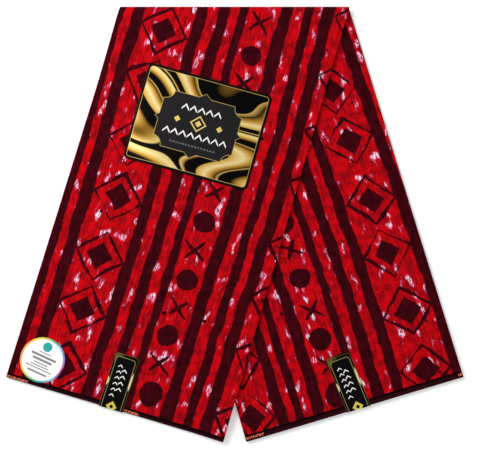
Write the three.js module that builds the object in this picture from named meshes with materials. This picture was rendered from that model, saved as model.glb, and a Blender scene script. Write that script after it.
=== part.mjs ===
// One six-yard length of wax print cotton, folded for the shelf and laid out flat with its two legs spread.
// The cloth is pleated into layers one foot wide. That long flat strip is folded over once, on a slant, so the front
// leg leans to the left, lies on the back leg near the fold, and sinks to the surface past the back leg's edge.
// Millimetres, +Z up, origin on the surface under the middle of the part.
import * as THREE from "three";
import { mergeVertices } from "three/addons/utils/BufferGeometryUtils.js";

const MM_PER_INCH = 25.4;

// The cloth and how it is folded.
const PANEL_WIDTH = 12 * MM_PER_INCH; // one pleat, from side fold to side fold
const STRIP_LENGTH = 45.5 * MM_PER_INCH; // selvedge to selvedge, the full width of the cloth
const LAYERS = 18; // pleats in six yards
const LAYER_PITCH = 0.333; // one thickness of cloth with the air under it
const LEG_LEAN = THREE.MathUtils.degToRad(16.36); // each leg's lean away from upright

// Clearances and soft shapes.
const SEAM_GAP = 0.3; // between stretches, between the legs, and under each card
const FOLD_HOLLOW = 2.4; // clear height inside the top fold
const FOLD_EASE = 70; // the front leg comes down onto the back leg over this length
const DROOP_START = 4; // how far past the back leg's edge the front leg begins to sink
const DROOP_RUN = 72; // and the distance over which it reaches the surface

// The pleats that show at the sides and the selvedges that show at the ends.
const GROOVE = 0.35; // depth between two side folds
const STAGGER = 0.8; // most that one side fold or selvedge lies behind the next
const STAGGER_TURN = 2.4; // radians from layer to layer, so that neighbours differ

// Cells along and across each stretch. The front stretch has most of its columns where it sinks.
const FRONT_COLUMNS = { settled: 3, sinking: 8, stacked: 3 };
const NARROWEST_COLUMN = 3;
const FRONT_ROWS = 18;
const FOLD_CELLS = { across: 6, along: 10 };
const BACK_CELLS = { across: 6, along: 10 };

// Cards on the cloth: sizes, and places measured across the panel from its left edge and up from the selvedge.
// A tilt is in degrees, anticlockwise from the leg that carries the card.
const LABEL = { width: 177, height: 137, corner: 8, thickness: 0.6, across: 151, up: 401, tilt: 0.8 };
const LABEL_CELLS = { across: 15, middle: 10 };
const STICKER = { diameter: 61, thickness: 0.4, across: 40, up: 36, sides: 48 };
const TICKET = { width: 33.5, corner: 5, thickness: 0.5, clear: 0.8 };
const TICKET_CELLS = { across: 4, corner: 4, flat: 5, turn: 4, drop: 3 };
const TICKET_PLACES = [
  { name: "front_ticket", onBack: false, across: 147.5, up: 74.7, tilt: -1.3 },
  { name: "back_ticket", onBack: true, across: 157, up: 76.5, tilt: 5.4 },
];
const CORNER_CELLS = 4; // steps round a corner of the label

// Worked out from the driving dimensions.
const SIN = Math.sin(LEG_LEAN);
const COS = Math.cos(LEG_LEAN);
const TAN = SIN / COS;
const SPREAD_SIN = Math.sin(2 * LEG_LEAN);
const SPREAD_COS = Math.cos(2 * LEG_LEAN);
const THICKNESS = LAYERS * LAYER_PITCH;
const HALF = THICKNESS / 2;
const BEND_RADIUS = (THICKNESS + FOLD_HOLLOW) / 2; // to the middle of the cloth
const BEND_LENGTH = Math.PI * BEND_RADIUS;
const SHORT_SIDE = (STRIP_LENGTH - PANEL_WIDTH * TAN - BEND_LENGTH / COS) / 2; // a leg's shorter side
const LEG_HEIGHT = (SHORT_SIDE + PANEL_WIDTH * TAN) * COS; // fold line to lowest corner
const FOLD_Y = (LEG_HEIGHT - BEND_RADIUS - HALF) / 2; // the line where the bend starts
const START_X = -(SHORT_SIDE * SIN + (BEND_LENGTH / 2) * TAN + PANEL_WIDTH / (2 * COS)); // front leg's left corner
const EDGE_OFFSET = -2 * START_X * COS - PANEL_WIDTH; // from that corner to the line of the back leg's left edge
const SEAM_SHIFT = SEAM_GAP / (2 * COS);
const QUARTER_TURN = Math.PI / 2;

const waxPrint = () => new THREE.MeshStandardMaterial({ name: "wax print cotton", color: 0xb30812, roughness: 0.78 });
const foilCard = () => new THREE.MeshStandardMaterial({ name: "foil card", color: 0x14110c, roughness: 0.35 });
const whitePaper = () => new THREE.MeshStandardMaterial({ name: "white paper", color: 0xf6f7f4, roughness: 0.5 });

// Rises smoothly from 0 to 1 as the value goes from 0 to 1.
const ease = (value) => THREE.MathUtils.smoothstep(value, 0, 1);

// Goes evenly from 0 to 1 over a count of rows.
const share = (row, first, count) => THREE.MathUtils.clamp((row - first) / count, 0, 1);

// The height of the front leg's middle: on the back leg, eased down from the fold, and sunk past that leg's edge.
function frontHeight(across, along, past) {
  const outside = EDGE_OFFSET - across * SPREAD_COS - along * SPREAD_SIN;
  const stacked = THICKNESS + SEAM_GAP + (FOLD_HOLLOW - SEAM_GAP) * ease(1 + past / FOLD_EASE);
  return HALF + stacked * (1 - ease((outside - DROOP_START) / DROOP_RUN));
}

// A point of the folded strip. Across and along are measured on the flat strip, and height from the middle of its
// thickness towards the face that is on top of the front leg.
function onStrip(across, along, height) {
  const x = START_X + across * COS + along * SIN;
  const past = (along - SHORT_SIDE) * COS - across * SIN; // past the line where the bend starts
  if (past <= 0) return new THREE.Vector3(x, FOLD_Y + past, frontHeight(across, along, past) + height);
  if (past >= BEND_LENGTH) return new THREE.Vector3(x, FOLD_Y + BEND_LENGTH - past, HALF - height);
  const turn = past / BEND_RADIUS;
  const radius = BEND_RADIUS + height;
  return new THREE.Vector3(x, FOLD_Y + radius * Math.sin(turn), HALF + BEND_RADIUS + radius * Math.cos(turn));
}

// A closed block of cells, each point placed by a function of its three shares, which run from 0 to 1.
function shapedBlock(name, cells, material, place) {
  const box = new THREE.BoxGeometry(1, 1, 1, cells.across, cells.along, cells.deep);
  box.deleteAttribute("normal");
  box.deleteAttribute("uv");
  const geometry = mergeVertices(box);
  const points = geometry.getAttribute("position");
  const corner = new THREE.Vector3();
  for (let i = 0; i < points.count; i++) {
    corner.fromBufferAttribute(points, i).addScalar(0.5);
    const { x, y, z } = place(corner.x, corner.y, corner.z);
    points.setXYZ(i, x, y, z);
  }
  geometry.computeVertexNormals();
  const mesh = new THREE.Mesh(geometry, material);
  mesh.name = name;
  return mesh;
}

// How far a layer's edge lies behind the outermost one. Valleys between side folds fall on every other step.
function layerInset(step, valleyOn) {
  if (step === 0 || step === LAYERS) return 0;
  const valley = step % 2 === valleyOn ? GROOVE : 0;
  return valley + (STAGGER * (1 + Math.sin(step * STAGGER_TURN))) / 2;
}

// One stretch of the pleated strip. The left side opens between odd layers and the right side between even ones.
function stretch({ name, cells, column, from, to, selvedge }) {
  return shapedBlock(name, { ...cells, deep: LAYERS }, waxPrint(), (u, v, w) => {
    const step = Math.round(w * LAYERS);
    let across = column(u, v);
    if (u === 0) across += layerInset(step, 1);
    if (u === 1) across -= layerInset(step, 0);
    let along = THREE.MathUtils.lerp(from(across), to(across), v);
    if (v === 0 && selvedge === "start") along += layerInset(step, 1);
    if (v === 1 && selvedge === "end") along -= layerInset(step, 1);
    return onStrip(across, along, w * THICKNESS - HALF);
  });
}

const foldStart = (across) => SHORT_SIDE + across * TAN;
const foldEnd = (across) => foldStart(across) + BEND_LENGTH / COS;
const evenColumn = (u) => u * PANEL_WIDTH;

// Where a row of the front stretch is a given distance outside the back leg's edge.
function acrossAt(outside, v) {
  return (EDGE_OFFSET - outside - v * SHORT_SIDE * SPREAD_SIN) / (SPREAD_COS + v * TAN * SPREAD_SIN);
}

// Columns of the front stretch: a few where it is flat on either side, and the rest along the sinking band.
function frontColumn(u, v) {
  const { settled, sinking, stacked } = FRONT_COLUMNS;
  const columns = settled + sinking + stacked;
  const column = Math.round(u * columns);
  const roomAt = (count) => [count * NARROWEST_COLUMN, PANEL_WIDTH - (columns - count) * NARROWEST_COLUMN];
  const low = THREE.MathUtils.clamp(acrossAt(DROOP_START + DROOP_RUN, v), ...roomAt(settled));
  const high = THREE.MathUtils.clamp(acrossAt(DROOP_START, v), ...roomAt(settled + sinking));
  if (column <= settled) return (low * column) / settled;
  if (column <= settled + sinking) return THREE.MathUtils.lerp(low, high, (column - settled) / sinking);
  return THREE.MathUtils.lerp(high, PANEL_WIDTH, (column - settled - sinking) / stacked);
}

const STRETCHES = [
  {
    name: "front_stretch",
    cells: { across: FRONT_COLUMNS.settled + FRONT_COLUMNS.sinking + FRONT_COLUMNS.stacked, along: FRONT_ROWS },
    column: frontColumn,
    from: () => 0,
    to: (across) => foldStart(across) - SEAM_SHIFT,
    selvedge: "start",
  },
  {
    name: "top_fold",
    cells: FOLD_CELLS,
    column: evenColumn,
    from: (across) => foldStart(across) + SEAM_SHIFT,
    to: (across) => foldEnd(across) - SEAM_SHIFT,
  },
  {
    name: "back_stretch",
    cells: BACK_CELLS,
    column: evenColumn,
    from: (across) => foldEnd(across) + SEAM_SHIFT,
    to: () => STRIP_LENGTH,
    selvedge: "end",
  },
];

// A rounded end's row: how far it lies in from the end, and how much narrower the card is there on each side.
function roundedEnd(turned, corner) {
  const turn = turned * QUARTER_TURN;
  return { inward: corner * (1 - Math.cos(turn)), narrower: corner * (1 - Math.sin(turn)) };
}

// The large label follows the front leg over the back leg's edge.
function largeLabel() {
  const rows = 2 * CORNER_CELLS + LABEL_CELLS.middle;
  const tilt = THREE.MathUtils.degToRad(LABEL.tilt);
  return shapedBlock("large_label", { across: LABEL_CELLS.across, along: rows, deep: 1 }, foilCard(), (u, v, w) => {
    const row = Math.round(v * rows);
    const fromEnd = Math.min(row, rows - row);
    const end = roundedEnd(share(fromEnd, 0, CORNER_CELLS), LABEL.corner);
    const middle = Math.max(fromEnd - CORNER_CELLS, 0) / LABEL_CELLS.middle;
    const inward = end.inward + middle * (LABEL.height - 2 * LABEL.corner);
    const rise = Math.sign(v - 0.5) * (LABEL.height / 2 - inward);
    const side = (u - 0.5) * (LABEL.width - 2 * end.narrower);
    const across = LABEL.across + side * Math.cos(tilt) - rise * Math.sin(tilt);
    const along = LABEL.up + side * Math.sin(tilt) + rise * Math.cos(tilt);
    return onStrip(across, along, HALF + SEAM_GAP + w * LABEL.thickness);
  });
}

function roundSticker() {
  const radius = STICKER.diameter / 2;
  const disc = new THREE.CylinderGeometry(radius, radius, STICKER.thickness, STICKER.sides);
  const mesh = new THREE.Mesh(disc, whitePaper());
  mesh.name = "round_sticker";
  mesh.rotation.x = QUARTER_TURN;
  mesh.position.copy(onStrip(STICKER.across, STICKER.up, HALF + SEAM_GAP + STICKER.thickness / 2));
  return mesh;
}

// A sealing ticket lies along its leg, turns over the selvedge and runs down the ends of the layers. Its rows count
// from its rounded upper end, and the back leg shows the other face of the strip.
function ticket({ name, onBack, across, up, tilt }) {
  const { corner, flat, turn, drop } = TICKET_CELLS;
  const rows = corner + flat + turn + drop;
  const lean = Math.tan(THREE.MathUtils.degToRad(tilt));
  return shapedBlock(name, { across: TICKET_CELLS.across, along: rows, deep: 1 }, foilCard(), (u, v, w) => {
    const row = Math.round((onBack ? v : 1 - v) * rows);
    const lift = SEAM_GAP + (onBack ? 1 - w : w) * TICKET.thickness;
    const end = roundedEnd(share(row, 0, corner), TICKET.corner);
    const bend = share(row, corner + flat, turn) * QUARTER_TURN;
    const dropped = share(row, corner + flat + turn, drop) * (THICKNESS - TICKET.clear);
    const aside = (u - 0.5) * (TICKET.width - 2 * end.narrower);
    const top = up - end.inward + aside * lean;
    const fromSelvedge = top * (1 - share(row, corner, flat)) - lift * Math.sin(bend);
    const height = HALF + lift * Math.cos(bend) - dropped;
    const side = across - fromSelvedge * lean + aside;
    return onBack ? onStrip(side, STRIP_LENGTH - fromSelvedge, -height) : onStrip(side, fromSelvedge, height);
  });
}

const foldedCloth = new THREE.Group();
foldedCloth.name = "folded_wax_print";
foldedCloth.add(...STRETCHES.map(stretch), largeLabel(), roundSticker(), ...TICKET_PLACES.map(ticket));

export default foldedCloth;
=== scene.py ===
"""A six-yard length of wax print cotton, pleated, folded over on a slant and laid flat, with its paper cards.

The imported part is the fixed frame. The cloth is made again here as thin sheets that follow the same fold: the
leaf on top of the front leg, the leaf on top of the back leg, and the sixteen pleats between them.
"""

import math

import bmesh
import bpy
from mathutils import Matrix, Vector


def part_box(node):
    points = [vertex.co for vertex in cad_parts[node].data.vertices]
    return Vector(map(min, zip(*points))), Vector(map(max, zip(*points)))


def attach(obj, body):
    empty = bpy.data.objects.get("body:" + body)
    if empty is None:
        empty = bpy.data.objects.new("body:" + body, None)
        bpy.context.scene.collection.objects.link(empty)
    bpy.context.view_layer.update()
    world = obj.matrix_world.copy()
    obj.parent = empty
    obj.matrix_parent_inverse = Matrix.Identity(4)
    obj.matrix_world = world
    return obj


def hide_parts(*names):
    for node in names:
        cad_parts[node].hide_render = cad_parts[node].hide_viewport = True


bl_info = {
    "name": "Folded wax print",
    "version": (1, 0, 0),
    "blender": (4, 5, 0),
    "location": "3D View > Sidebar > Wax print",
    "description": "Makes a folded length of wax print cotton with its label, sticker and tickets",
    "category": "Object",
}

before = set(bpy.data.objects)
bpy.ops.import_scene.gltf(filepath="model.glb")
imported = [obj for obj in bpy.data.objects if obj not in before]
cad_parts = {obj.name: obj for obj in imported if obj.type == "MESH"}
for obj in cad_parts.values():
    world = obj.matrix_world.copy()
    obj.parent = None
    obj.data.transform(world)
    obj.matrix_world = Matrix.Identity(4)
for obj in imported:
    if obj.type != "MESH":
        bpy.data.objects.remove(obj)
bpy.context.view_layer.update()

MM = 0.001
INCH = 0.0254
PER_MM = 1000.0  # turns a map's metres into the millimetres that the patterns are given in
QUARTER = math.pi / 2
BODY = "root"
CLOTH_MAP = "cloth"  # across the pleat and along the strip, in metres
PRINT_MAP = "print"  # the same cloth against the printer's chart, in metres
CARD_MAP = "card"  # from the middle of a card, in metres
BAKE_MAP = "OFBake"


def colour(text):
    """Turns an sRGB hex colour into the linear colour that Blender's sockets take."""
    parts = [int(text[i : i + 2], 16) / 255 for i in (1, 3, 5)]
    linear = [c / 12.92 if c <= 0.04045 else ((c + 0.055) / 1.055) ** 2.4 for c in parts]
    return (*linear, 1.0)


def ease(value):
    """Rises smoothly from 0 to 1 as the value goes from 0 to 1."""
    value = min(max(value, 0.0), 1.0)
    return value * value * (3.0 - 2.0 * value)


def length(name, description, default):
    """A size in metres that a user may change."""
    return bpy.props.FloatProperty(name=name, description=description, default=default, unit="LENGTH")


def angle(name, description, degrees):
    """An angle that a user may change."""
    default = math.radians(degrees)
    return bpy.props.FloatProperty(name=name, description=description, default=default, subtype="ANGLE")


def tint(name, description, default):
    """A colour that a user may change."""
    return bpy.props.FloatVectorProperty(
        name=name, description=description, default=colour(default), size=4, subtype="COLOR", min=0.0, max=1.0
    )


class ClothSettings(bpy.types.PropertyGroup):
    """The cloth, how it is folded, and its dyes."""

    pleat_width: length("Pleat width", "From side fold to side fold", 12 * INCH)
    strip_length: length("Strip length", "From selvedge to selvedge", 45.5 * INCH)
    layers: bpy.props.IntProperty(name="Layers", description="Pleats in the strip", default=18, min=4)
    lean: angle("Lean", "Each leg's lean from upright", 16.36)
    sheet: length("Cloth thickness", "Thickness of one layer", 0.25 * MM)
    fold_hollow: length("Fold hollow", "Clear height inside the top fold", 2.4 * MM)
    leg_gap: length("Leg gap", "Between the legs where they lie on each other", 0.3 * MM)
    fold_ease: length("Fold ease", "Length over which the front leg comes down from the fold", 70 * MM)
    droop_start: length("Droop start", "Past the back leg's edge, where the front leg starts to sink", 4 * MM)
    droop_run: length("Droop run", "Length over which the front leg sinks", 72 * MM)
    side_bulge: length("Side bulge", "How far the side folds stand out", 0.45 * MM)
    ground: tint("Ground red", "Main dye", "#CC0611")
    ground_deep: tint("Deep red", "Where the dye took more", "#8A0610")
    dark: tint("Aubergine", "Overprinted dye", "#420510")
    dark_deep: tint("Deep aubergine", "Where the overprinted dye took more", "#2E0309")


class CardSettings(bpy.types.PropertyGroup):
    """The label, the sticker and the two tickets."""

    label_width: length("Label width", "Along the label's longer side", 177 * MM)
    label_height: length("Label height", "Along the label's shorter side", 137 * MM)
    label_across: length("Label across", "Middle of the label from the pleat's left edge", 151 * MM)
    label_up: length("Label up", "Middle of the label from the selvedge", 401 * MM)
    label_tilt: angle("Label tilt", "Anticlockwise from the leg", 0.8)
    sticker_diameter: length("Sticker diameter", "Of the round sticker", 61 * MM)
    ticket_width: length("Ticket width", "Of both sealing tickets", 33.5 * MM)
    gold_line: tint("Gold line", "The fine lines on the label", "#C8AC62")
    gold_mark: tint("Gold mark", "The lozenges on the label", "#E2C66C")
    black: tint("Card black", "Printed black", "#060505")
    plaque: tint("Plaque", "The label's dark plaque", "#232123")
    mark_white: tint("White mark", "The chevrons", "#F4F2EC")


class StageSettings(bpy.types.PropertyGroup):
    """The camera, the floor and the lights."""

    distance: length("Camera distance", "From the cloth to the lens", 0.972)
    tilt: angle("Camera tilt", "Off straight down", 3.84)
    lens: bpy.props.FloatProperty(name="Lens", description="Focal length in mm", default=53.25, min=10.0)
    sky: bpy.props.FloatProperty(name="Sky", description="Strength of the even light", default=0.66, min=0.0)
    key: bpy.props.FloatProperty(name="Key", description="Key light in watts", default=16.0, min=0.0)


# Rows of cells along the strip, and cells across one pleat and round one side fold.
FRONT_ROWS, BEND_ROWS, BACK_ROWS = 80, 14, 80
LEAF_CELLS, LOOP_CELLS = 40, 6
PLEAT_ROWS_STEP = 2  # the hidden pleats have half as many rows
HIDDEN_CELLS = 20
TUCK = 0.12  # share by which the hidden pleats are pressed towards the middle, away from the side folds
ENDS_IN = 0.45 * MM  # half of the most that a pleat's selvedge lies behind the foremost one's
STAGGER_TURN = 2.4  # radians from one side fold to the next, so that neighbours stand out unevenly
BULGE_MEAN = 1.2  # side folds stand out by so many side bulges, give or take one
BAKE_SHARE = 0.49  # each leg's share of the bake map's width

# Shallow hollows in millimetres: middle, half width, half length and depth.
HOLLOWS = (
    {"across": 60, "up": 150, "wide": 70, "long": 45, "depth": 0.45},
    {"across": 235, "up": 235, "wide": 40, "long": 110, "depth": 0.4},
    {"across": 120, "up": 275, "wide": 60, "long": 38, "depth": 0.35},
    {"across": 250, "up": 60, "wide": 55, "long": 40, "depth": 0.3},
    {"across": 190, "up": 520, "wide": 90, "long": 30, "depth": 0.4},
    {"across": 30, "up": 400, "wide": 35, "long": 90, "depth": 0.3},
)
HOLLOW_CLEAR = 40 * MM  # hollows fade out this near the top fold
MIRROR_SHIFT = 35 * MM  # the back leg's hollows lie a little further from its selvedge


class FoldedStrip:
    """Says where a point of the flat pleated strip comes to lie."""

    def __init__(self, cloth):
        low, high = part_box("back_stretch")
        self.cloth = cloth
        self.width, self.length = cloth.pleat_width, cloth.strip_length
        self.sin, self.cos, self.tan = math.sin(cloth.lean), math.cos(cloth.lean), math.tan(cloth.lean)
        self.spread_sin, self.spread_cos = math.sin(2 * cloth.lean), math.cos(2 * cloth.lean)
        self.thickness = high.z - low.z
        self.half = self.thickness / 2
        self.pitch = self.thickness / cloth.layers
        self.radius = (self.thickness + cloth.fold_hollow) / 2
        self.bend = math.pi * self.radius
        self.short_side = (self.length - self.width * self.tan - self.bend / self.cos) / 2
        leg_height = (self.short_side + self.width * self.tan) * self.cos
        self.fold_y = (leg_height - self.radius - self.half) / 2
        self.start_x = -(
            self.short_side * self.sin + self.bend / 2 * self.tan + self.width / (2 * self.cos)
        )
        self.edge = -2 * self.start_x * self.cos - self.width

    def fold_start(self, across):
        """How far along the strip the top fold starts."""
        return self.short_side + across * self.tan

    def fold_end(self, across):
        """How far along the strip the top fold ends."""
        return self.fold_start(across) + self.bend / self.cos

    def front_height(self, across, along, past):
        """Middle of the front leg: on the back leg, eased down from the fold, sunk past that leg's edge."""
        cloth = self.cloth
        outside = self.edge - across * self.spread_cos - along * self.spread_sin
        stacked = self.thickness + cloth.leg_gap
        stacked += (cloth.fold_hollow - cloth.leg_gap) * ease(1 + past / cloth.fold_ease)
        return self.half + stacked * (1 - ease((outside - cloth.droop_start) / cloth.droop_run))

    def pressed(self, across, up, from_fold):
        """Share by which shallow hollows from handling press the layers together."""
        depth = 0.0
        for hollow in HOLLOWS:
            aside = (across - hollow["across"] * MM) / (hollow["wide"] * MM)
            apart = (up - hollow["up"] * MM) / (hollow["long"] * MM)
            depth += hollow["depth"] * MM * math.exp(-aside * aside - apart * apart)
        return depth / self.thickness * ease(from_fold / HOLLOW_CLEAR)

    def point(self, across, along, height):
        """Height is from the middle of the strip, towards the face on top of the front leg."""
        x = self.start_x + across * self.cos + along * self.sin
        past = (along - self.short_side) * self.cos - across * self.sin
        if past <= 0:
            pressed = self.pressed(across, along, -past)
            raised = (height + self.half) * (1 - pressed) - self.half
            return Vector((x, self.fold_y + past, self.front_height(across, along, past) + raised))
        if past >= self.bend:
            pressed = self.pressed(across, self.length - along + MIRROR_SHIFT, past - self.bend)
            raised = (self.half - height) * (1 - pressed)
            return Vector((x, self.fold_y + self.bend - past, raised))
        turn = past / self.radius
        radius = self.radius + height
        y = self.fold_y + radius * math.sin(turn)
        return Vector((x, y, self.half + self.radius + radius * math.cos(turn)))

    def along(self, row, across):
        """Where a row of the grid crosses a place across the pleat. Rows turn from square to slanted."""
        if row <= FRONT_ROWS:
            return self.fold_start(across) * row / FRONT_ROWS
        row -= FRONT_ROWS
        if row <= BEND_ROWS:
            return self.fold_start(across) + self.bend / self.cos * row / BEND_ROWS
        end = self.fold_end(across)
        return end + (self.length - end) * (row - BEND_ROWS) / BACK_ROWS


MATH, VECTOR, RANGE = "ShaderNodeMath", "ShaderNodeVectorMath", "ShaderNodeMapRange"
NOISE, RAMP, MIX, BUMP = "ShaderNodeTexNoise", "ShaderNodeValToRGB", "ShaderNodeMix", "ShaderNodeBump"
SPLIT, JOIN, UV = "ShaderNodeSeparateXYZ", "ShaderNodeCombineXYZ", "ShaderNodeUVMap"
PLACE, TURN = "ShaderNodeMapping", "ShaderNodeVectorRotate"
SHADER, OUTPUT = "ShaderNodeBsdfPrincipled", "ShaderNodeOutputMaterial"
OFF, ON = (0.0, 0.0, 0.0, 1.0), (1.0, 1.0, 1.0, 1.0)  # a ramp's colours outside and inside a mask
HALVES = (0.5, 0.5, 0.5)
INK_SOFT = 0.35  # half the width in millimetres over which the cloth's print fades at an edge
CARD_SOFT = 0.15  # the same for the cards
GRAIN_DETAIL = 2.0
GRAIN_LOW, GRAIN_HIGH = 0.3, 0.7  # where a fine grain's hollows end and its tops begin, in its noise


def add(tree, kind, inputs=None, out=0, stops=(), **settings):
    """Adds a node with its settings and links. Returns one output, or the node itself when out is None."""
    made = tree.nodes.new(kind)
    for name, value in settings.items():
        setattr(made, name, value)
    for i, (position, shade) in enumerate(stops):
        elements = made.color_ramp.elements
        stop = elements[i] if i < len(elements) else elements.new(position)
        stop.position = position
        stop.color = shade
    for key, value in (inputs or {}).items():
        if isinstance(value, bpy.types.NodeSocket):
            tree.links.new(value, made.inputs[key])
        else:
            made.inputs[key].default_value = value
    return made if out is None else made.outputs[out]


def calc(tree, operation, *values):
    """One step of arithmetic on numbers."""
    return add(tree, MATH, dict(enumerate(values)), operation=operation)


def calc_vector(tree, operation, *values):
    """One step of arithmetic on vectors. Some steps give a number, which is the node's second output."""
    out = 1 if operation in ("LENGTH", "DISTANCE", "DOT_PRODUCT") else 0
    return add(tree, VECTOR, dict(enumerate(values)), out=out, operation=operation)


def split(tree, vector):
    """The three parts of a vector."""
    return add(tree, SPLIT, {0: vector}, out=None).outputs


def map_place(tree, uv_map):
    """A place on one of the flat maps, in millimetres."""
    return add(tree, VECTOR, {0: add(tree, UV, uv_map=uv_map), "Scale": PER_MM}, operation="SCALE")


def rise(tree, value, start, end):
    """Goes from 0 to 1 as a value goes from start to end."""
    return add(tree, RANGE, {0: value, 1: start, 2: end})


def ramp(tree, value, stops):
    """A colour from a ramp."""
    return add(tree, RAMP, {0: value}, stops=stops)


def new_material(name):
    """An empty material and its node tree."""
    material = bpy.data.materials.new(name)
    material.use_nodes = True
    material.node_tree.nodes.clear()
    return material, material.node_tree


def tones(table):
    """Ramp stops from pairs of a place and a hex colour."""
    return [(at, colour(tone)) for at, tone in table]


def grains(tree, place, wide, tall, detail, turn=0.0, stray=0.0):
    """A noise whose grains have a given width and height in millimetres."""
    scaled = add(tree, PLACE, {"Vector": place, "Rotation": (0, 0, turn), "Scale": (1 / wide, 1 / tall, 1.0)})
    look = {"Vector": scaled, "Scale": 1.0, "Detail": detail, "Distortion": stray}
    return add(tree, NOISE, look, noise_dimensions="2D")


def fine_grain(tree, place, grain):
    """A surface's fine grain: its relief, and a roughness that goes from its hollows to its tops."""
    noise = {"Vector": place, "Scale": 1 / grain["size"], "Detail": GRAIN_DETAIL}
    noise = add(tree, NOISE, noise, noise_dimensions="2D")
    relief = add(tree, BUMP, {"Height": noise, "Strength": grain["strength"], "Distance": grain["depth"]})
    rough = {0: noise, 1: GRAIN_LOW, 2: GRAIN_HIGH, 3: grain["hollows"], 4: grain["tops"]}
    return relief, add(tree, RANGE, rough)


def within(tree, distance, reach=0.0, soft=CARD_SOFT):
    """A mask that is 1 where a distance is under a reach."""
    return rise(tree, distance, reach + soft, reach - soft)


def painted(tree, shade, *layers):
    """Lays colours over a shade in order. A layer is a mask, and the colour that covers where it is 1."""
    for mask, over in layers:
        shade = add(tree, MIX, {0: mask, 6: shade, 7: over}, out=2, data_type="RGBA")
    return shade


def finish(tree, shade, rough, shine, more):
    """Ends a material with its shader."""
    look = {"Base Color": shade, "Roughness": rough, "Specular IOR Level": shine, **more}
    add(tree, OUTPUT, {"Surface": add(tree, SHADER, look)}, out=None)


# The printer's chart across one repeat, in millimetres: where the dark stripes start and end.
REPEAT = 252.0
DARK_STRIPES = (
    (0, 10.4),
    (21, 37.6),
    (105.8, 121.3),
    (134.3, 149.8),
    (163.3, 175.5),
    (217, 234.4),
    (249.6, 252),
)
STRIPE_SOFT = 0.5
SQUARE_COLUMN, ROUND_COLUMN = 70.5, 195.5  # middles of the two wide bands
MOTIF_PITCH, FIRST_MOTIF = 81.3, 32.0  # along the stripes
MOTIF_STRAY = (3.0, 8.0, 0.0)  # room in which a motif lies off its place, across and along

# Motifs in millimetres and degrees. Each differs a little from its neighbours, as if printed by hand:
# "uneven" and "sway" are the room in which a size or a turn differs. A line grows with the dye's wandering.
SQUARE = {"solid": 13.55, "drawn": 23.7, "turn": 50, "sway": 12, "line": -1.2, "grow": 6.0}
ROUND = {"radius": 15.4, "uneven": 2.4}
CROSS = {"turn": 47, "sway": 26, "arm": 18.5, "uneven": 4.0, "shorter": 1.16, "end_soft": 0.5}
STROKE = {"half": 3.1, "taper": -0.08}
# Stray drops: how far apart they may be, the largest, the share of places without one, and the soft edge.
DROP = {"apart": 60, "radius": 3.3, "without": 0.6, "soft": 0.48}

# The dye wanders over a few centimetres and feathers over a few millimetres: the waves' size and reach.
STRAYS = ({"size": 40, "detail": 2.5, "reach": 7.5}, {"size": 6, "detail": 2.0, "reach": 1.4})
# Both dyes' streaks and mottling: a grain's width, length and detail, and the noise of deep and clear dye.
STREAK, MOTTLE = (2.4, 26, 3.0), (11, 11, 3.0)
DYE = {"deep": 0.4, "clear": 0.6}
# White cracks, where the resist kept the dye off: patches of fine threads, turned and a little crooked. Each
# rises from nothing to full between two values of its noise.
PATCH = {"grain": (12, 24, 1.5), "from": 0.618, "full": 0.8}
THREAD = {"grain": (1.5, 6, 2.0, 0.4, 0.6), "from": 0.38, "full": 0.62}
CRACK_TINTS = ((0.05, "#C8204A"), (0.3, "#DC80AC"), (0.6, "#F4E4F2"))
CRACK_COVERS = 0.42  # a crack hides the red from this strength
# Threads of plain cotton lie about 0.3 mm apart. They are drawn four times as coarse, so that they show.
# Calendering has polished the tops of the threads, and the hollows between them stay rougher.
WEAVE = {"size": 1.2, "depth": 0.2 * MM, "strength": 0.25, "hollows": 0.8, "tops": 0.64}

# The selvedge in millimetres from the cloth's end: its band, where the band's ramp of colours runs, and how
# much narrower the far one is. Then its dashes, which stand in groups along it.
SELVEDGE = {"band": 6.3, "soft": 0.3, "ramp": (-4.0, 12.0), "narrower": 2.5}
SELVEDGE_TINTS = ((0.0, "#2E0A12"), (0.42, "#2A0810"), (0.47, "#0E0104"))
DASH = {"low": 0.3, "high": 3.4, "every": 157.0, "share": 0.2, "grain": (1.6, 2.2, 1.0)}
DASH_NOISE = (0.46, 0.5)  # a dash fades in between these
# Specular levels. They are low, because the real light is so even that it leaves no highlights.
SHINE = {"cloth": 0.02, "ink": 0.05, "sticker": 0.2, "floor": 0.1}

# The chart's place on the back leg's top leaf.
BACK_PRINT_ACROSS, BACK_PRINT_ALONG = 25.5, 39.0
# Up the back leg the stripes drift to the left: how far in all, from where, and over which length.
DRIFT = {"reach": 13.8, "start": 70.0, "run": 480.0}
# Near its left side they lie closer together: by which share, and from which place across.
SQUEEZE = {"share": 0.095, "across": 104.0}
# Up the front leg they bow to the right: by how much at the left side, how far across that has doubled, where
# up the leg it is most, how that place climbs across, the bow's half length, and one shift for the whole leg.
BOW = {"reach": 4.0, "wider": 280.0, "up": 200.0, "slant": 0.62, "long": 190.0, "rest": -3.2}


def stripe_stops():
    """Ramp stops that are white on the dark stripes and black between them, over one repeat."""
    stops = []
    for start, end in DARK_STRIPES:
        if start > 0:
            stops += [((start - STRIPE_SOFT) / REPEAT, OFF), ((start + STRIPE_SOFT) / REPEAT, ON)]
        if end < REPEAT:
            stops += [((end - STRIPE_SOFT) / REPEAT, ON), ((end + STRIPE_SOFT) / REPEAT, OFF)]
    return stops


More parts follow.
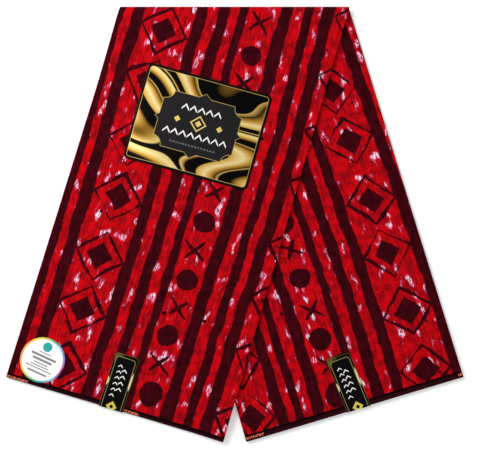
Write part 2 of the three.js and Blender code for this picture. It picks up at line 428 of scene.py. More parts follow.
def motif_cell(tree, across, along, column, shift):
    """The place inside one motif's cell, in millimetres, and three random shares that belong to the cell."""
    repeat = calc(tree, "DIVIDE", across, REPEAT)
    aside = calc(tree, "MULTIPLY_ADD", calc(tree, "FRACT", repeat), REPEAT, -column)
    first = shift - FIRST_MOTIF / MOTIF_PITCH
    steps = calc(tree, "MULTIPLY_ADD", along, 1 / MOTIF_PITCH, first)
    index = calc(tree, "ROUND", steps)
    apart = calc(tree, "MULTIPLY", calc(tree, "SUBTRACT", steps, index), MOTIF_PITCH)
    cell = add(tree, JOIN, {0: index, 1: calc(tree, "FLOOR", repeat), 2: column})
    chance = add(tree, "ShaderNodeTexWhiteNoise", {"Vector": cell}, out="Color", noise_dimensions="3D")
    chance = calc_vector(tree, "SUBTRACT", chance, HALVES)
    moved = calc_vector(tree, "MULTIPLY", chance, MOTIF_STRAY)
    place = calc_vector(tree, "ADD", add(tree, JOIN, {0: aside, 1: apart}), moved)
    return place, split(tree, chance)


def turned_sides(tree, place, chance, motif, shorter=1.0):
    """Turns a motif by its own angle, and says how far a place lies from its middle to each side."""
    sway, turn = math.radians(motif["sway"]), math.radians(motif["turn"])
    turn = calc(tree, "MULTIPLY_ADD", chance[2], sway, turn)
    turned = add(tree, TURN, {"Vector": place, "Angle": turn}, rotation_type="Z_AXIS")
    turned = calc_vector(tree, "MULTIPLY", turned, (1.0, shorter, 1.0))
    return split(tree, calc_vector(tree, "ABSOLUTE", turned))[:2]


def squares(tree, across, along, uneven):
    """A solid square inside a drawn square, both standing on a corner."""
    place, chance = motif_cell(tree, across, along, SQUARE_COLUMN, 0.0)
    aside, over = turned_sides(tree, place, chance, SQUARE)
    reach = calc(tree, "MAXIMUM", aside, over)
    solid = within(tree, reach, SQUARE["solid"], INK_SOFT)
    off_line = calc(tree, "ABSOLUTE", calc(tree, "SUBTRACT", reach, SQUARE["drawn"]))
    thick = calc(tree, "MULTIPLY_ADD", uneven, SQUARE["grow"], SQUARE["line"])
    line = within(tree, calc(tree, "SUBTRACT", off_line, thick), soft=INK_SOFT)
    return calc(tree, "MAXIMUM", solid, line)


def rounds(tree, across, along):
    """Solid rounds, each with a size of its own."""
    place, chance = motif_cell(tree, across, along, ROUND_COLUMN, 0.0)
    radius = calc(tree, "MULTIPLY_ADD", chance[2], ROUND["uneven"], ROUND["radius"])
    past = calc(tree, "SUBTRACT", calc_vector(tree, "LENGTH", place), radius)
    return within(tree, past, soft=INK_SOFT)


def crosses(tree, across, along):
    """Brushed crosses between the rounds. One stroke is the shorter, and both thin out to their ends."""
    place, chance = motif_cell(tree, across, along, ROUND_COLUMN, 0.5)
    aside, over = turned_sides(tree, place, chance, CROSS, CROSS["shorter"])
    reach = calc(tree, "MAXIMUM", aside, over)
    off_stroke = calc(tree, "MINIMUM", aside, over)
    half = calc(tree, "MULTIPLY_ADD", reach, STROKE["taper"], STROKE["half"])
    stroke = within(tree, calc(tree, "SUBTRACT", off_stroke, half), soft=INK_SOFT)
    arm = calc(tree, "MULTIPLY_ADD", chance[0], CROSS["uneven"], CROSS["arm"])
    ends = within(tree, calc(tree, "SUBTRACT", reach, arm), soft=CROSS["end_soft"])
    return calc(tree, "MULTIPLY", stroke, ends)


def drops(tree, place):
    """A few stray drops of the dark dye."""
    apart = DROP["apart"]
    nearest = {"Vector": place, "Scale": 1 / apart}
    nearest = add(tree, "ShaderNodeTexVoronoi", nearest, out=None, voronoi_dimensions="2D")
    chance = split(tree, nearest.outputs["Color"])[0]
    size = add(tree, RANGE, {0: chance, 1: DROP["without"], 2: 1.0, 3: 0.0, 4: DROP["radius"] / apart})
    inside = calc(tree, "SUBTRACT", size, nearest.outputs["Distance"])
    return rise(tree, inside, 0.0, DROP["soft"] / apart)


def strayed(tree, chart):
    """The chart as the dye follows it, and the noise of its slow wandering."""
    moved = chart
    noises = []
    for stray in STRAYS:
        waves = {"Vector": chart, "Scale": 1 / stray["size"], "Detail": stray["detail"]}
        noise = add(tree, NOISE, waves, out=None, noise_dimensions="2D")
        centred = calc_vector(tree, "SUBTRACT", noise.outputs["Color"], HALVES)
        centred = add(tree, VECTOR, {0: centred, "Scale": stray["reach"]}, operation="SCALE")
        moved = calc_vector(tree, "ADD", moved, centred)
        noises.append(noise.outputs[0])
    return moved, noises[0]


def cracked(tree, chart, red):
    """Lays the resist's pale cracks over the red."""
    strengths = []
    for part in (PATCH, THREAD):
        noise = grains(tree, chart, *part["grain"])
        strengths.append(rise(tree, noise, part["from"], part["full"]))
    crack = calc(tree, "MULTIPLY", *strengths)
    pale = ramp(tree, crack, tones(CRACK_TINTS))
    return painted(tree, red, (rise(tree, crack, 0.0, CRACK_COVERS), pale))


def with_selvedge(tree, cloth, printed, across):
    """A dark band and a black line along each selvedge, with short orange dashes on the band."""
    up = split(tree, add(tree, UV, uv_map=CLOTH_MAP))[1]
    far_end = cloth.strip_length * PER_MM - SELVEDGE["narrower"]
    from_end = calc(tree, "MULTIPLY_ADD", up, -PER_MM, far_end)
    inside = calc(tree, "MINIMUM", calc(tree, "MULTIPLY", up, PER_MM), from_end)
    band = ramp(tree, rise(tree, inside, *SELVEDGE["ramp"]), tones(SELVEDGE_TINTS))
    covers = within(tree, inside, SELVEDGE["band"], SELVEDGE["soft"])
    group = calc(tree, "FRACT", calc(tree, "DIVIDE", across, DASH["every"]))
    group = calc(tree, "LESS_THAN", group, DASH["share"])
    dash = grains(tree, add(tree, JOIN, {0: across, 1: inside}), *DASH["grain"])
    dash = rise(tree, dash, *DASH_NOISE)
    above = calc(tree, "GREATER_THAN", inside, DASH["low"])
    below = calc(tree, "LESS_THAN", inside, DASH["high"])
    for mask in (group, above, below):
        dash = calc(tree, "MULTIPLY", dash, mask)
    return painted(tree, printed, (covers, band), (dash, colour("#DC7250")))


def wax_print_material(cloth):
    """Plain woven cotton, wax resist dyed on both faces and calendered."""
    # To the eye the colours are deep and clear with soft edges, and the cloth is smooth with a low sheen.
    material, tree = new_material("wax print cotton")
    chart = map_place(tree, PRINT_MAP)
    moved, uneven = strayed(tree, chart)
    across, along = split(tree, moved)[:2]
    dark = ramp(tree, calc(tree, "FRACT", calc(tree, "DIVIDE", across, REPEAT)), stripe_stops())
    motifs = squares(tree, across, along, uneven), rounds(tree, across, along), crosses(tree, across, along)
    for motif in (*motifs, drops(tree, moved)):
        dark = calc(tree, "MAXIMUM", dark, motif)
    # Both dyes are streaked along the stripes and mottled.
    streak, mottle = (grains(tree, chart, *grain) for grain in (STREAK, MOTTLE))
    clear = add(tree, MIX, {0: 0.5, 2: streak, 3: mottle})
    clear = rise(tree, clear, DYE["deep"], DYE["clear"])
    red = painted(tree, cloth.ground_deep, (clear, cloth.ground))
    aubergine = painted(tree, cloth.dark_deep, (clear, cloth.dark))
    printed = painted(tree, cracked(tree, chart, red), (dark, aubergine))
    printed = with_selvedge(tree, cloth, printed, across)
    relief, rough = fine_grain(tree, chart, WEAVE)
    finish(tree, printed, rough, SHINE["cloth"], {"Normal": relief})
    return material


def finish_piece(piece):
    """Puts every piece on the one body. Its finish already sits in the slot that new_piece gave it."""
    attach(piece, BODY)


def new_piece(name, bm, material):
    """Turns a bmesh into an object at the origin."""
    mesh = bpy.data.meshes.new(name)
    for face in bm.faces:
        face.smooth = True
    bm.to_mesh(mesh)
    bm.free()
    mesh.materials.append(material)
    piece = bpy.data.objects.new(name, mesh)
    bpy.context.scene.collection.objects.link(piece)
    return piece


def thicken(piece, label, thickness, offset):
    """Gives a sheet its thickness, and shades its wide faces evenly."""
    shell = piece.modifiers.new(label, "SOLIDIFY")
    shell.thickness = thickness
    shell.offset = offset
    piece.modifiers.new("even faces", "WEIGHTED_NORMAL")


def pleat_stations(strip, first, last, cells, tuck):
    """Places across the pleats and round their side folds: across, height, and how far along the cloth."""
    cloth = strip.cloth
    stations = []
    for layer in range(first, last + 1):
        rightwards = layer % 2 == 1
        height = strip.half - (layer - 0.5) * strip.pitch
        for i in range(cells + 1):
            walked = strip.width * i / cells
            across = walked if rightwards else strip.width - walked
            tucked = height * (1 - tuck * math.sin(math.pi * i / cells) ** 0.5)
            stations.append((across, tucked, (layer - 1) * strip.width + walked))
        if layer == cloth.layers:
            continue
        edge, outwards = (strip.width, 1) if rightwards else (0.0, -1)
        bulge = cloth.side_bulge * (BULGE_MEAN + math.sin(layer * STAGGER_TURN))
        # A side fold's last station is the next pleat's first, except where the sheet ends.
        for i in range(1, LOOP_CELLS + (layer == last)):
            turn = math.pi * i / LOOP_CELLS
            sunk = strip.pitch * (1 - math.cos(turn)) / 2
            stations.append((edge + outwards * bulge * math.sin(turn), height - sunk, layer * strip.width))
    return stations


def pleated_piece(name, strip, stations, row_step, chart_place, material):
    """One sheet across its pleats and along the whole strip, with its flat place kept in its maps."""
    columns = len(stations) - 1
    rows = (FRONT_ROWS + BEND_ROWS + BACK_ROWS) // row_step
    bm = bmesh.new()
    bmesh.ops.create_grid(bm, x_segments=columns, y_segments=rows, size=0.5)
    maps = {key: bm.loops.layers.uv.new(key) for key in (CLOTH_MAP, PRINT_MAP, BAKE_MAP)}
    flat = {}
    for vert in bm.verts:
        column = round((vert.co.x + 0.5) * columns)
        row = round((vert.co.y + 0.5) * rows) * row_step
        across, height, walked = stations[column]
        along = strip.along(row, across)
        # Both ends of a pleat draw in alike, and the cloth between them gives evenly.
        behind = ENDS_IN * (1 + math.sin(walked / strip.width * STAGGER_TURN))
        flat[vert] = (column / columns, row, across, along, walked)
        vert.co = strip.point(across, along + behind * (1 - 2 * along / strip.length), height)
    longest = strip.fold_end(strip.width)
    for face in bm.faces:
        on_front = min(flat[v][1] for v in face.verts) < FRONT_ROWS + BEND_ROWS
        for loop in face.loops:
            share, row, across, along, walked = flat[loop.vert]
            loop[maps[CLOTH_MAP]].uv = (across, along)
            loop[maps[PRINT_MAP]].uv = chart_place(strip, walked, along)
            up = along if on_front else strip.length - along
            side = 0.0 if on_front else 1 - BAKE_SHARE
            loop[maps[BAKE_MAP]].uv = (share * BAKE_SHARE + side, up / longest)
    piece = new_piece(name, bm, material)
    thicken(piece, "cloth thickness", strip.cloth.sheet, 0.0)
    return piece


def front_chart(strip, walked, along):
    """The printer's chart starts near the first pleat's left side fold, and bows to the right up the leg."""
    across = min(walked, strip.width) / MM
    apart = (along / MM - BOW["up"] - BOW["slant"] * across) / BOW["long"]
    reach = BOW["reach"] * (1 + (across / BOW["wider"]) ** 2)
    return walked - (BOW["rest"] + reach * math.exp(-apart * apart)) * MM, along


def back_chart(strip, walked, along):
    """On the back leg's top leaf the chart starts elsewhere, drifts, and is squeezed near the left side."""
    across = strip.width * strip.cloth.layers - walked
    up = (strip.length - along) / MM
    drift = DRIFT["reach"] * MM * ease((up - DRIFT["start"]) / DRIFT["run"])
    squeeze = SQUEEZE["share"] * max(SQUEEZE["across"] * MM - across, 0.0)
    return strip.width - across + BACK_PRINT_ACROSS * MM - drift + squeeze, along + BACK_PRINT_ALONG * MM


class WAXPRINT_OT_cloth(bpy.types.Operator):
    """Makes the pleated and folded cloth"""

    bl_idname = "wax_print.cloth"
    bl_label = "Folded cloth"

    def execute(self, context):
        cloth = context.scene.wax_cloth
        strip = FoldedStrip(cloth)
        print_finish = wax_print_material(cloth)
        last = cloth.layers
        leaves = (
            ("front_leaf", 1, 1, LEAF_CELLS, 1, front_chart),
            ("inner_pleats", 2, last - 1, HIDDEN_CELLS, PLEAT_ROWS_STEP, front_chart),
            ("back_leaf", last, last, LEAF_CELLS, 1, back_chart),
        )
        for name, first, final, cells, row_step, chart_place in leaves:
            stations = pleat_stations(strip, first, final, cells, TUCK if first != final else 0.0)
            piece = pleated_piece(name, strip, stations, row_step, chart_place, print_finish)
            finish_piece(piece)
        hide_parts("front_stretch", "top_fold", "back_stretch")
        return {"FINISHED"}


# The cards' corners, thicknesses and places. A place is across and up its leg, and a tilt is anticlockwise.
CARD_GAP = 0.3 * MM
CARD_CELL, CORNER_CELLS = 5 * MM, 4
LABEL_CORNER, LABEL_THICK = 8 * MM, 0.6 * MM
STICKER_THICK, STICKER_SIDES, STICKER_RINGS = 0.4 * MM, 72, 4
STICKER_PLACE = {"across": 40 * MM, "up": 36 * MM, "tilt": math.radians(-8)}
TICKET_CORNER, TICKET_THICK, TICKET_CLEAR = 5 * MM, 0.5 * MM, 0.8 * MM
FRONT_TICKET = {"across": 147.5 * MM, "up": 74.7 * MM, "tilt": math.radians(-1.3)}
BACK_TICKET = {"across": 157 * MM, "up": 76.5 * MM, "tilt": math.radians(5.4)}
TICKETS = (
    {"name": "front_ticket", "on_back": False, **FRONT_TICKET},
    {"name": "back_ticket", "on_back": True, **BACK_TICKET},
)
END_ROWS = 3  # rows of a ticket's cells down the layers' ends

# Coated paper's grain is finer than a tenth of a millimetre. It is drawn coarser, so that it shows at all.
PAPER = {"size": 1.4, "depth": 0.03 * MM, "strength": 0.15, "hollows": 0.38, "tops": 0.48}
FOIL = {"metal": 0.5, "rough": 0.34}

# The large label's swirl: its waves' width, height, detail and turn, how many bands a wave holds, and how the
# bands also follow the place across and up.
SWIRL = {"grain": (170, 75, 0.0, 0.5), "bands": 1.9, "slant": (0.0045, 0.0105, 0.0)}
# The swirl's colours. The bands are print, and their grading from deep to pale gold is painted sheen of the
# foil.
FOIL_BANDS_AND_PAINTED_SHEEN = (
    (0.0, "#060505"),
    (0.1, "#060505"),
    (0.13, "#6E4E18"),
    (0.2, "#C89A3C"),
    (0.3, "#E6D08E"),
    (0.36, "#DCC27C"),
    (0.37, "#100C08"),
    (0.42, "#060505"),
    (0.43, "#D9BC6C"),
    (0.46, "#8A6420"),
    (0.47, "#060505"),
    (0.6, "#0A0806"),
    (0.61, "#C89A3C"),
    (0.72, "#E8D494"),
    (0.8, "#C08F36"),
    (0.86, "#6A4A16"),
    (0.87, "#060505"),
    (0.92, "#C8A050"),
    (0.925, "#060505"),
)
# Its black border with a gold line, in millimetres from the edge, and its plaque and marks from the middle.
BORDER = {"black": 3.6, "foil": 3.7, "line": 3.8, "half_line": 0.28}
PLAQUE = {"half": (56, 40), "scoop": 13, "point": 46.5, "slim": 0.755, "line": 0.3}
MARKS_UP = 3
LABEL_RING = {"size": 10.5, "half_line": 1.2}
LABEL_LOZENGES = ((-30, 4.5), (0, 4.8), (30, 4.5))
LABEL_ROWS = (
    {"middle": (0, 22), "count": 5, "pitch": 11.5, "size": 5.0, "steep": 1.3},
    {"middle": (0, -15), "count": 8, "pitch": 11.5, "size": 5.0, "steep": 1.3},
)
LABEL_FINE_ROW = {"middle": (0, -29), "count": 15, "pitch": 4.4, "size": 1.5, "steep": 1.2}
CHEVRON_STROKE = 0.18  # half a chevron's stroke, as a share of its size

# A ticket's panel, its painted glints at both sides and its marks, in millimetres.
PANEL = {"aside": 3.3, "above": 4.6, "corner": 4.5, "half_line": 0.28}
TICKET_EDGE = 0.3
PAINTED_GLINTS = (
    {"side": -1, "inwards": 1.2, "up": 35, "size": 6.5, "slim": 2.6},
    {"side": 1, "inwards": 1.6, "up": 41, "size": 13.0, "slim": 4.6},
)
SCROLL = {"radius": 11, "soft": 4}
TICKET_COLUMNS = (
    {"middle": (2.5, 40), "count": 4, "pitch": 8.5, "size": 3.6, "steep": 0.9},
    {"middle": (-4.5, 38), "count": 6, "pitch": 8.0, "size": 3.2, "steep": 0.9},
)
TICKET_LOZENGE = {"size": 7.5, "hollow": 3.0}

# The sticker's rim, disc and plain rules, in millimetres. The rim's colours go once round.
RIM = {"wide": 2.6, "soft": 0.4}
RAINBOW = (
    (0.0, "#EFA05C"),
    (0.17, "#F2DC50"),
    (0.25, "#8CC060"),
    (0.295, "#3FA088"),
    (0.34, "#70C4E4"),
    (0.38, "#5C96D8"),
    (0.42, "#9C8AD4"),
    (0.515, "#B4308C"),
    (0.56, "#A05CB4"),
    (0.615, "#86C4E8"),
    (0.685, "#38A0A8"),
    (0.77, "#52AC6C"),
    (0.85, "#EFDC4C"),
    (0.93, "#EFA05C"),
)
DISC = {"middle": (-0.7, 18.5, 0.0), "radius": 6.4}
STICKER_RULES = (
    {"up": 9.5, "half_length": 9, "half_height": 0.6},
    {"up": 4.8, "half_length": 18, "half_height": 1.5},
    {"up": -0.6, "half_length": 14, "half_height": 1.5},
    {"up": -5.5, "half_length": 10, "half_height": 0.7},
    {"up": -9.0, "half_length": 13, "half_height": 0.7},
    {"up": -12.5, "half_length": 19, "half_height": 0.7},
    {"up": -18.0, "half_length": 14, "half_height": 1.2},
)


def line_at(tree, distance, where, half_width):
    """A mask of a line drawn where a distance has one value."""
    off = calc(tree, "SUBTRACT", distance, where)
    return within(tree, calc(tree, "ABSOLUTE", off), half_width)


def beyond_box(tree, place, middle, half_size):
    """How far a place lies past each side of a box, as a vector, and past the nearer one."""
    off = calc_vector(tree, "SUBTRACT", place, (*middle, 0.0))
    off = calc_vector(tree, "SUBTRACT", calc_vector(tree, "ABSOLUTE", off), (*half_size, 0.0))
    return off, calc(tree, "MAXIMUM", *split(tree, off)[:2])


def round_box(tree, place, half_size, corner):
    """Distance outside a box with rounded corners, near its edge."""
    inner = [size - corner for size in half_size]
    off, _ = beyond_box(tree, place, (0, 0), inner)
    off = calc_vector(tree, "MAXIMUM", off, (0.0, 0.0, 0.0))
    return calc(tree, "SUBTRACT", calc_vector(tree, "LENGTH", off), corner)


def scooped_box(tree, place, half_size, scoop):
    """Distance outside a box whose corners are scooped out."""
    off, box = beyond_box(tree, place, (0, 0), half_size)
    cut = calc(tree, "SUBTRACT", scoop, calc_vector(tree, "LENGTH", off))
    return calc(tree, "MAXIMUM", box, cut)


def lozenge(tree, place, middle, size, slim=1.0):
    """Distance outside a lozenge."""
    off = calc_vector(tree, "SUBTRACT", place, (*middle, 0.0))
    aside, up = split(tree, calc_vector(tree, "ABSOLUTE", off))[:2]
    return calc(tree, "SUBTRACT", calc(tree, "MULTIPLY_ADD", aside, slim, up), size)


def chevrons(tree, place, run, middle, count, pitch, size, steep):
    """A mask of chevrons in a row along one axis of the card."""
    axes = split(tree, calc_vector(tree, "SUBTRACT", place, (*middle, 0.0)))
    shift = 0.5 if count % 2 == 0 else 0.0
    steps = calc(tree, "MULTIPLY_ADD", axes[run], 1 / pitch, shift)
    local = calc(tree, "SUBTRACT", steps, calc(tree, "ROUND", steps))
    local = calc(tree, "MULTIPLY", local, pitch)
    aside, up = (local, axes[1]) if run == 0 else (axes[0], local)
    aside = calc(tree, "ABSOLUTE", aside)
    arm = calc(tree, "MULTIPLY_ADD", aside, steep, up)
    stroke = line_at(tree, arm, size * steep / 2, size * CHEVRON_STROKE * math.hypot(1, steep))
    stroke = calc(tree, "MULTIPLY", stroke, within(tree, aside, size))
    inside = within(tree, calc(tree, "ABSOLUTE", axes[run]), count * pitch / 2)
    return calc(tree, "MULTIPLY", stroke, inside)


def finish_card(tree, place, shade, gold):
    """Ink is satin, and the foil on it is smoother and part metal."""
    relief, satin = fine_grain(tree, place, PAPER)
    metal = calc(tree, "MULTIPLY", gold, FOIL["metal"])
    rough = add(tree, MIX, {0: gold, 2: satin, 3: FOIL["rough"]})
    finish(tree, shade, rough, SHINE["ink"], {"Metallic": metal, "Normal": relief})


def label_material(cards):
    """Coated card, offset printed with flowing gold foil bands round a dark plaque."""
    # To the eye it is rich and shiny, because pale and deep gold, a painted sheen on the printed bands, run
    # into each other beside black.
    material, tree = new_material("gold foil printed card")
    place = map_place(tree, CARD_MAP)
    half = [cards.label_width * PER_MM / 2, cards.label_height * PER_MM / 2]
    slant = calc_vector(tree, "DOT_PRODUCT", place, SWIRL["slant"])
    flow = calc(tree, "MULTIPLY_ADD", grains(tree, place, *SWIRL["grain"]), SWIRL["bands"], slant)
    # Printed bands of the swirl, with painted sheen in their pale gold.
    swirl_and_painted_sheen = ramp(tree, calc(tree, "FRACT", flow), tones(FOIL_BANDS_AND_PAINTED_SHEEN))
    # The plaque has scooped corners and a point in the middle of each side.
    plaque = scooped_box(tree, place, PLAQUE["half"], PLAQUE["scoop"])
    points = lozenge(tree, place, (0, 0), PLAQUE["point"], PLAQUE["slim"])
    plaque = calc(tree, "MINIMUM", plaque, points)
    edge = round_box(tree, place, half, LABEL_CORNER * PER_MM)
    inwards = calc(tree, "MULTIPLY", edge, -1.0)
    # A row of lozenges between two rows of chevrons, and a fine row below them.
    ring = lozenge(tree, place, (0, MARKS_UP), LABEL_RING["size"])
    marks = [line_at(tree, ring, 0.0, LABEL_RING["half_line"])]
    for aside, size in LABEL_LOZENGES:
        marks.append(within(tree, lozenge(tree, place, (aside, MARKS_UP), size)))
    shade = painted(
        tree,
        swirl_and_painted_sheen,
        (within(tree, plaque), cards.plaque),
        (within(tree, inwards, BORDER["black"]), cards.black),
        (line_at(tree, edge, -BORDER["line"], BORDER["half_line"]), cards.gold_line),
        (line_at(tree, plaque, -PLAQUE["line"], PLAQUE["line"]), cards.gold_line),
        *((mark, cards.gold_mark) for mark in marks),
        *((chevrons(tree, place, 0, **row), cards.mark_white) for row in LABEL_ROWS),
        (chevrons(tree, place, 0, **LABEL_FINE_ROW), colour("#9A9898")),
    )
    finish_card(tree, place, shade, within(tree, edge, -BORDER["foil"]))
    return material


def ticket_material(cards):
    """Coated card, printed black and gold, folded over the selvedge."""
    # To the eye it is a dark satin strip with fine dull lines, small bright marks and a glint at each side.
    material, tree = new_material("black and gold printed card")
    place = map_place(tree, CARD_MAP)
    half_width = cards.ticket_width * PER_MM / 2
    top = FRONT_TICKET["up"] * PER_MM
    edge = round_box(tree, place, (half_width, top), TICKET_CORNER * PER_MM)
    panel = round_box(tree, place, (half_width - PANEL["aside"], top - PANEL["above"]), PANEL["corner"])
    # Two slim pale lozenges at the sides are painted glints.
    left, right = (
        lozenge(tree, place, (at["side"] * (half_width - at["inwards"]), at["up"]), at["size"], at["slim"])
        for at in PAINTED_GLINTS
    )
    painted_glint = within(tree, calc(tree, "MINIMUM", left, right))
    corner = calc_vector(tree, "DISTANCE", place, (-half_width, top, 0.0))
    mark = within(tree, lozenge(tree, place, (0, MARKS_UP), TICKET_LOZENGE["size"]))
    hollow = within(tree, lozenge(tree, place, (0, MARKS_UP), TICKET_LOZENGE["hollow"]))
    shade = painted(
        tree,
        cards.black,
        # The painted glint at each side, in pale gold.
        (painted_glint, colour("#E8D9A6")),
        (within(tree, corner, SCROLL["radius"], SCROLL["soft"]), colour("#5E5620")),
        (within(tree, panel), cards.black),
        (line_at(tree, panel, 0.0, PANEL["half_line"]), colour("#A89A66")),
        (line_at(tree, edge, -TICKET_EDGE, TICKET_EDGE), colour("#5A4A24")),
        *((chevrons(tree, place, 1, **column), cards.mark_white) for column in TICKET_COLUMNS),
        (mark, colour("#E2D060")),
        (hollow, cards.black),
    )
    finish_card(tree, place, shade, calc(tree, "MAXIMUM", mark, painted_glint))
    return material


def sticker_material(cards):
    """White gloss paper with a printed rainbow rim. The rules and the disc are plain."""
    # To the eye it is the brightest thing on the cloth, with a thin ring of many colours round it.
    material, tree = new_material("white gloss sticker paper")
    place = map_place(tree, CARD_MAP)
    aside, up = split(tree, place)[:2]
    turn = calc(tree, "MULTIPLY_ADD", calc(tree, "ARCTAN2", up, aside), -0.5 / math.pi, 0.5)
    rainbow = ramp(tree, turn, tones(RAINBOW))
    away = calc_vector(tree, "LENGTH", place)
    white = within(tree, away, cards.sticker_diameter * PER_MM / 2 - RIM["wide"], RIM["soft"])
    disc = within(tree, calc_vector(tree, "DISTANCE", place, DISC["middle"]), DISC["radius"])
    rules = []
    for rule in STICKER_RULES:
        off = beyond_box(tree, place, (0, rule["up"]), (rule["half_length"], rule["half_height"]))[1]
        rules.append((within(tree, off), colour("#85858A")))
    shade = painted(tree, rainbow, (white, colour("#FCFCFA")), (disc, colour("#2FA8A2")), *rules)
    relief, satin = fine_grain(tree, place, PAPER)
    finish(tree, shade, satin, SHINE["sticker"], {"Normal": relief})
    return material


def card_stations(low, high, corner, low_corner=True):
    """Places from one side of a card to the other, closer together in the rounded corners."""
    start = low + corner if low_corner else low
    cells = max(round((high - corner - start) / CARD_CELL), 2)
    places = [low + corner * i / CORNER_CELLS for i in range(CORNER_CELLS)] if low_corner else []
    places += [start + (high - corner - start) * i / cells for i in range(cells + 1)]
    return places + [high - corner * (1 - i / CORNER_CELLS) for i in range(1, CORNER_CELLS + 1)]


def rounded(aside, up, half_width, top, corner):
    """Draws a place in a square corner into the rounded one."""
    right, over = abs(aside) - (half_width - corner), abs(up) - (top - corner)
    if right <= 0 or over <= 0:
        return aside, up
    shrink = max(right, over) / math.hypot(right, over)
    aside = math.copysign(half_width - corner + right * shrink, aside)
    return aside, math.copysign(top - corner + over * shrink, up)


def card_piece(node, bm, place, size, thickness, material):
    """Lays a flat bmesh on the cloth in a node's place, keeps its flat places in its maps and thickens it."""
    card, bake = (bm.loops.layers.uv.new(key) for key in (CARD_MAP, BAKE_MAP))
    low, high = size
    for face in bm.faces:
        for loop in face.loops:
            flat = loop.vert.co
            loop[card].uv = flat.xy
            loop[bake].uv = [(flat[i] - low[i]) / (high[i] - low[i]) for i in (0, 1)]
    for vert in bm.verts:
        vert.co = place(vert.co.x, vert.co.y)
    piece = new_piece(node + "_card", bm, material)
    thicken(piece, "card thickness", thickness, 1.0)
    finish_piece(piece)
    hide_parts(node)


def gridded(columns, rows, half_width, top, corner):
    """A flat grid with given columns and rows and rounded corners."""
    bm = bmesh.new()
    bmesh.ops.create_grid(bm, x_segments=len(columns) - 1, y_segments=len(rows) - 1, size=0.5)
    for vert in bm.verts:
        aside = columns[round((vert.co.x + 0.5) * (len(columns) - 1))]
        up = rows[round((vert.co.y + 0.5) * (len(rows) - 1))]
        # The end of a ticket that hangs down keeps its square corners.
        if up > 0 or min(rows) == -top:
            aside, up = rounded(aside, up, half_width, top, corner)
        vert.co = (aside, up, 0.0)
    return bm


def laid(strip, across, up, tilt):
    """Says where a place on a card that lies flat on the front leg comes to lie."""

    def place(aside, rise):
        here = across + aside * math.cos(tilt) - rise * math.sin(tilt)
        there = up + aside * math.sin(tilt) + rise * math.cos(tilt)
        return strip.point(here, there, strip.half + CARD_GAP)

    return place


def folded_over(strip, ticket):
    """Says where a place on a ticket comes to lie. Below zero it turns over the selvedge and runs down."""
    lean = math.tan(ticket["tilt"])

    def place(aside, up):
        bend = QUARTER * min(max(-up / (QUARTER * CARD_GAP), 0.0), 1.0)
        past = up * (1 + aside * lean / ticket["up"]) if up > 0 else -CARD_GAP * math.sin(bend)
        height = strip.half + CARD_GAP * math.cos(bend) - max(-up - QUARTER * CARD_GAP, 0.0)
        here = ticket["across"] - past * lean + aside
        if ticket["on_back"]:
            return strip.point(here, strip.length - past, -height)
        return strip.point(here, past, height)

    return place


class WAXPRINT_OT_label(bpy.types.Operator):
    """Makes the large card that lies on the front leg"""

    bl_idname = "wax_print.label"
    bl_label = "Large label"

    def execute(self, context):
        cards = context.scene.wax_cards
        strip = FoldedStrip(context.scene.wax_cloth)
        half = [cards.label_width / 2, cards.label_height / 2]
        columns, rows = (card_stations(-size, size, LABEL_CORNER) for size in half)
        bm = gridded(columns, rows, *half, LABEL_CORNER)
        place = laid(strip, cards.label_across, cards.label_up, cards.label_tilt)
        size = ([-half[0], -half[1]], half)
        card_piece("large_label", bm, place, size, LABEL_THICK, label_material(cards))
        return {"FINISHED"}


class WAXPRINT_OT_sticker(bpy.types.Operator):
    """Makes the round sticker"""

    bl_idname = "wax_print.sticker"
    bl_label = "Round sticker"

    def execute(self, context):
        cards = context.scene.wax_cards
        strip = FoldedStrip(context.scene.wax_cloth)
        radius = cards.sticker_diameter / 2
        bm = bmesh.new()
        bmesh.ops.create_circle(bm, cap_ends=True, segments=STICKER_SIDES, radius=radius)
        # Rings inside the rim let the sticker follow the cloth.
        middle = list(bm.faces)
        for _ in range(1, STICKER_RINGS):
            ring = radius / STICKER_RINGS
            bmesh.ops.inset_region(bm, faces=middle, thickness=ring, use_even_offset=True)
        size = ([-radius, -radius], [radius, radius])
        place = laid(strip, **STICKER_PLACE)
        finish = sticker_material(cards)
        card_piece("round_sticker", bm, place, size, STICKER_THICK, finish)
        return {"FINISHED"}


class WAXPRINT_OT_tickets(bpy.types.Operator):
    """Makes the two tickets that are folded over the selvedges"""

    bl_idname = "wax_print.tickets"
    bl_label = "Sealing tickets"

    def execute(self, context):
        cards = context.scene.wax_cards
        strip = FoldedStrip(context.scene.wax_cloth)
        material = ticket_material(cards)
        half_width = cards.ticket_width / 2
        down = -(QUARTER * CARD_GAP + strip.thickness - TICKET_CLEAR)
        turn = [-QUARTER * CARD_GAP * i / CORNER_CELLS for i in range(CORNER_CELLS, 0, -1)]
        ends = [down + (turn[0] - down) * i / END_ROWS for i in range(END_ROWS)]
        for ticket in TICKETS:
            columns = card_stations(-half_width, half_width, TICKET_CORNER)
            rows = ends + turn + card_stations(0.0, ticket["up"], TICKET_CORNER, low_corner=False)
            bm = gridded(columns, rows, half_width, ticket["up"], TICKET_CORNER)
            place = folded_over(strip, ticket)
            size = ([-half_width, down], [half_width, ticket["up"]])
            card_piece(ticket["name"], bm, place, size, TICKET_THICK, material)
        return {"FINISHED"}


# The stage in metres.
AIM = (7.1 * MM, -8.1 * MM, 8 * MM)  # what the camera looks at
LAMP = {"place": (-0.9, 0.75, 1.3), "size": 0.6}
FLOOR_HALF = 4.0
FLOOR_TINTS = ("#F7F7F7", "#FAFAFA")
FLOOR_MOTTLE = 3.0  # waves of the floor's shade in a metre
FLOOR_ROUGH, FLOOR_GLOW = 0.9, 0.2
SENSOR_MM = 36.0


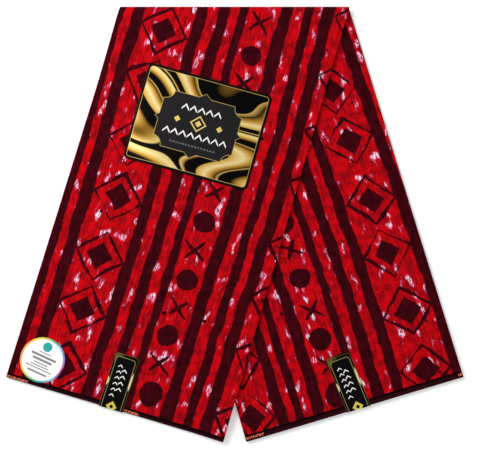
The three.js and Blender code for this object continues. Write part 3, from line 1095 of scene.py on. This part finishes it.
def floor_material():
    """White card, lit a little from below as a light table is."""
    # To the eye the ground is an even pale white that carries a soft shadow.
    material, tree = new_material("white card floor")
    place = add(tree, "ShaderNodeTexCoord", out="Object")
    mottle = add(tree, NOISE, {"Vector": place, "Scale": FLOOR_MOTTLE})
    shade = painted(tree, colour(FLOOR_TINTS[0]), (mottle, colour(FLOOR_TINTS[1])))
    glow = {"Emission Color": colour("#FFFFFF"), "Emission Strength": FLOOR_GLOW}
    finish(tree, shade, FLOOR_ROUGH, SHINE["floor"], glow)
    return material


class WAXPRINT_OT_stage(bpy.types.Operator):
    """Makes the floor, the lights and the camera"""

    bl_idname = "wax_print.stage"
    bl_label = "Stage"

    def execute(self, context):
        scene = context.scene
        stage = scene.wax_stage
        bm = bmesh.new()
        bmesh.ops.create_grid(bm, x_segments=1, y_segments=1, size=FLOOR_HALF)
        floor = new_piece("floor", bm, floor_material())
        world = bpy.data.worlds.new("even sky")
        world.use_nodes = True
        sky = world.node_tree.nodes["Background"]
        sky.inputs["Strength"].default_value = stage.sky
        sky.inputs["Color"].default_value = colour("#FFFFFF")
        scene.world = world
        key_light = bpy.data.lights.new("key light", "AREA")
        key_light.energy = stage.key
        key_light.size = LAMP["size"]
        lamp = bpy.data.objects.new("key light", key_light)
        lamp.location = LAMP["place"]
        lamp.rotation_euler = (-Vector(LAMP["place"])).to_track_quat("-Z", "Y").to_euler()
        scene.collection.objects.link(lamp)
        camera_data = bpy.data.cameras.new("camera")
        camera_data.lens = stage.lens
        camera_data.sensor_width = SENSOR_MM
        camera = bpy.data.objects.new("camera", camera_data)
        camera.rotation_euler = (stage.tilt, 0.0, 0.0)
        back = Vector((0.0, -math.sin(stage.tilt), math.cos(stage.tilt)))
        camera.location = Vector(AIM) + back * stage.distance
        scene.collection.objects.link(camera)
        scene.camera = camera
        scene.view_settings.view_transform = "Standard"
        return {"FINISHED"}


class WAXPRINT_PT_panel(bpy.types.Panel):
    """Lists the steps that make the folded cloth"""

    bl_label = "Folded wax print"
    bl_space_type = "VIEW_3D"
    bl_region_type = "UI"
    bl_category = "Wax print"

    def draw(self, context):
        for operator in OPERATORS:
            self.layout.operator(operator.bl_idname)


OPERATORS = (
    WAXPRINT_OT_cloth,
    WAXPRINT_OT_label,
    WAXPRINT_OT_sticker,
    WAXPRINT_OT_tickets,
    WAXPRINT_OT_stage,
)
SETTINGS = {"wax_cloth": ClothSettings, "wax_cards": CardSettings, "wax_stage": StageSettings}
CLASSES = (*SETTINGS.values(), *OPERATORS, WAXPRINT_PT_panel)


def register():
    """Adds the settings, the operators and the panel."""
    for cls in CLASSES:
        bpy.utils.register_class(cls)
    for name, group in SETTINGS.items():
        setattr(bpy.types.Scene, name, bpy.props.PointerProperty(type=group))


def unregister():
    """Takes them away again."""
    for name in SETTINGS:
        delattr(bpy.types.Scene, name)
    for cls in reversed(CLASSES):
        bpy.utils.unregister_class(cls)


def main():
    """Makes the whole object."""
    register()
    bpy.ops.wax_print.cloth()
    bpy.ops.wax_print.label()
    bpy.ops.wax_print.sticker()
    bpy.ops.wax_print.tickets()
    bpy.ops.wax_print.stage()
    bpy.context.view_layer.update()


if __name__ == "__main__":
    main()
